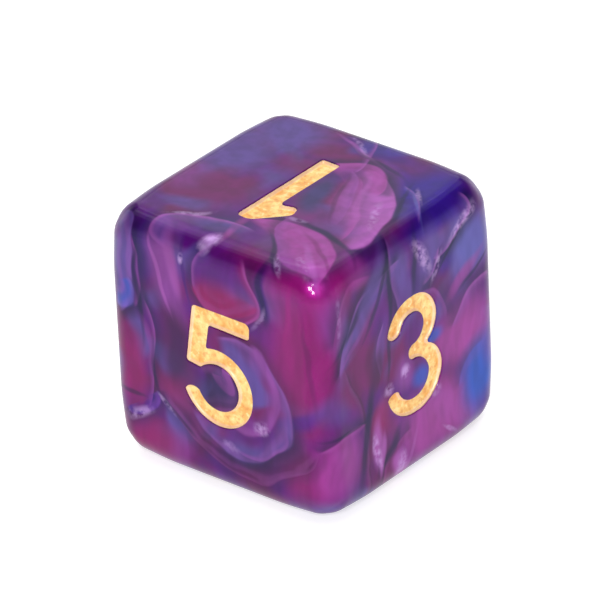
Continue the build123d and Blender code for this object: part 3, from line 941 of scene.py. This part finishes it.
gold = bpy.data.materials.new("gold_paint")
gold.use_nodes = True
gold_tree = gold.node_tree
gold_shader = gold_tree.nodes["Principled BSDF"]
gold_place = place(gold_tree, "ShaderNodeVectorMath", {
    0: place(gold_tree, "ShaderNodeTexCoord").outputs["Object"], 3: 1 / mm},
    operation="SCALE").outputs[0]
wall = place(gold_tree, "ShaderNodeAttribute", attribute_name="wall_distance").outputs["Fac"]
pools = place(gold_tree, "ShaderNodeTexNoise", {
    "Vector": gold_place, "Scale": 0.9, "Detail": 3.0, "Roughness": 0.6}).outputs["Fac"]
flakes = place(gold_tree, "ShaderNodeTexNoise", {
    "Vector": gold_place, "Scale": 2.6, "Detail": 3.0, "Roughness": 0.6}).outputs["Fac"]
gold_colour = blend(gold_tree, ramp(gold_tree, pools, 0.36, 0.64),
                    screen_colour(243, 176, 90), screen_colour(255, 222, 144))
gold_colour = blend(gold_tree, multiply(gold_tree, ramp(gold_tree, flakes, 0.50, 0.68), 0.7),
                    gold_colour, screen_colour(224, 146, 76))
gold_colour = blend(gold_tree, multiply(gold_tree, ramp(gold_tree, flakes, 0.46, 0.32), 0.8),
                    gold_colour, screen_colour(255, 232, 168))
# a paler pinkish band within 0.16 mm of the wall, all round each numeral, is a painted highlight where the
# paint on the wall catches the light
gold_colour = blend(gold_tree, multiply(gold_tree, ramp(gold_tree, wall, 0.16 * mm, 0.05 * mm), 0.7),
                    gold_colour, screen_colour(255, 216, 184))
gold_tree.links.new(gold_colour, gold_shader.inputs["Base Color"])
gold_shader.inputs["Metallic"].default_value = 0.25
gold_shader.inputs["Roughness"].default_value = 0.42

paint_tree = settled_paint_tree(gold)
for seed, name in enumerate(outlines):
    paint = grow(f"paint_{name}", paint_slab(name), paint_tree, {
        "Outward": face_axes[name][2], "Film Depth": film_depth * mm,
        "Floor Depth": floor_paint_depth * mm, "Creep Width": creep_width * mm,
        "Lump Height": lump_height * mm, "Grain Height": grain_height * mm, "Seed": float(seed)})
    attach(paint, "root")
    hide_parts(f"numeral_{name}_paint")


# ---------------------------------------------------------------------------------------------
# Table.  A plain white table lit softly from inside, as a small product table is.

table_reach = 0.6
table_drop = 0.00002         # a hair below the die, so that the two never share a face
table_grey, table_glow = 0.55, 0.66
bpy.ops.mesh.primitive_plane_add(size=2 * table_reach, location=(0, 0, -table_drop))
table = bpy.context.object
table.name = "table"
white = bpy.data.materials.new("white_table")
white.use_nodes = True
white_shader = white.node_tree.nodes["Principled BSDF"]
white_shader.inputs["Base Color"].default_value = (table_grey, table_grey, table_grey, 1)
white_shader.inputs["Roughness"].default_value = 0.6
white_shader.inputs["Emission Color"].default_value = (1, 1, 1, 1)
white_shader.inputs["Emission Strength"].default_value = table_glow
table.data.materials.append(white)


# ---------------------------------------------------------------------------------------------
# Camera.  A long lens from a little left of the front edge, looking down about 29 degrees.

view_turn = math.radians(40.32)
view_rise = math.radians(29.31)
camera_roll = math.radians(-2.71)
camera_distance = 0.4
focal_length = 419.5
aim_right, aim_up = -0.00022, 0.00070     # the die sits a little right of and below the middle

back = Vector((math.sin(view_turn) * math.cos(view_rise),
               -math.cos(view_turn) * math.cos(view_rise), math.sin(view_rise)))
level_right = Vector((0, 0, 1)).cross(back).normalized()
level_up = back.cross(level_right)
right = math.cos(camera_roll) * level_right + math.sin(camera_roll) * level_up
up = math.cos(camera_roll) * level_up - math.sin(camera_roll) * level_right
camera_spot = die_centre + back * camera_distance + right * aim_right + up * aim_up
lens = bpy.data.cameras.new("camera")
lens.lens = focal_length
lens.sensor_width = 36
lens.clip_start = 0.01
lens.clip_end = 10
camera = bpy.data.objects.new("camera", lens)
turn = Matrix((right, up, back)).transposed().to_4x4()
camera.matrix_world = Matrix.Translation(camera_spot) @ turn
scene.collection.objects.link(camera)
scene.camera = camera


# ---------------------------------------------------------------------------------------------
# Lights.  A large soft box overhead, a card behind and soft fills at the front, with the room
# between them left dark, so that the rolled edges read as deep lines of colour.


def soft_box(name, toward, distance, width, height, power, tint=(1, 1, 1)):
    """A rectangular light at a distance from the die, turned to face it."""
    light = bpy.data.lights.new(name, "AREA")
    light.shape = "RECTANGLE"
    light.size, light.size_y = width, height
    light.energy = power
    light.color = tint
    lamp = bpy.data.objects.new(name, light)
    direction = Vector(toward).normalized()
    lamp.location = die_centre + direction * distance
    lamp.rotation_euler = direction.to_track_quat("Z", "Y").to_euler()
    scene.collection.objects.link(lamp)
    return lamp


soft_box("overhead_box", (-0.1, 0.1, 1.0), 0.6, 0.66, 0.66, 1.4)
soft_box("overhead_halo", (-0.1, 0.1, 1.0), 0.62, 0.95, 0.95, 1.5)
soft_box("back_card", (-0.56, 0.67, 0.76), 0.6, 0.40, 0.46, 0.58)
soft_box("front_fill", (0.5, -0.75, 0.75), 0.6, 0.12, 0.12, 1.9)

# the room is white up to a little above the table, then dark up to the overhead box
low_white, dark_wall = 0.95, 0.12
white_until, dark_from = 0.10, 0.46      # as heights on a sphere of radius 1
world = bpy.data.worlds.new("studio")
scene.world = world
world.use_nodes = True
room = world.node_tree
direction = place(room, "ShaderNodeTexCoord").outputs["Generated"]
rise = place(room, "ShaderNodeSeparateXYZ", {0: direction}).outputs["Z"]
brightness = ramp(room, rise, white_until, dark_from, low_white, dark_wall)
room.links.new(brightness, room.nodes["Background"].inputs["Strength"])
room.nodes["Background"].inputs["Color"].default_value = (1, 1, 1, 1)
scene.view_settings.view_transform = "Standard"
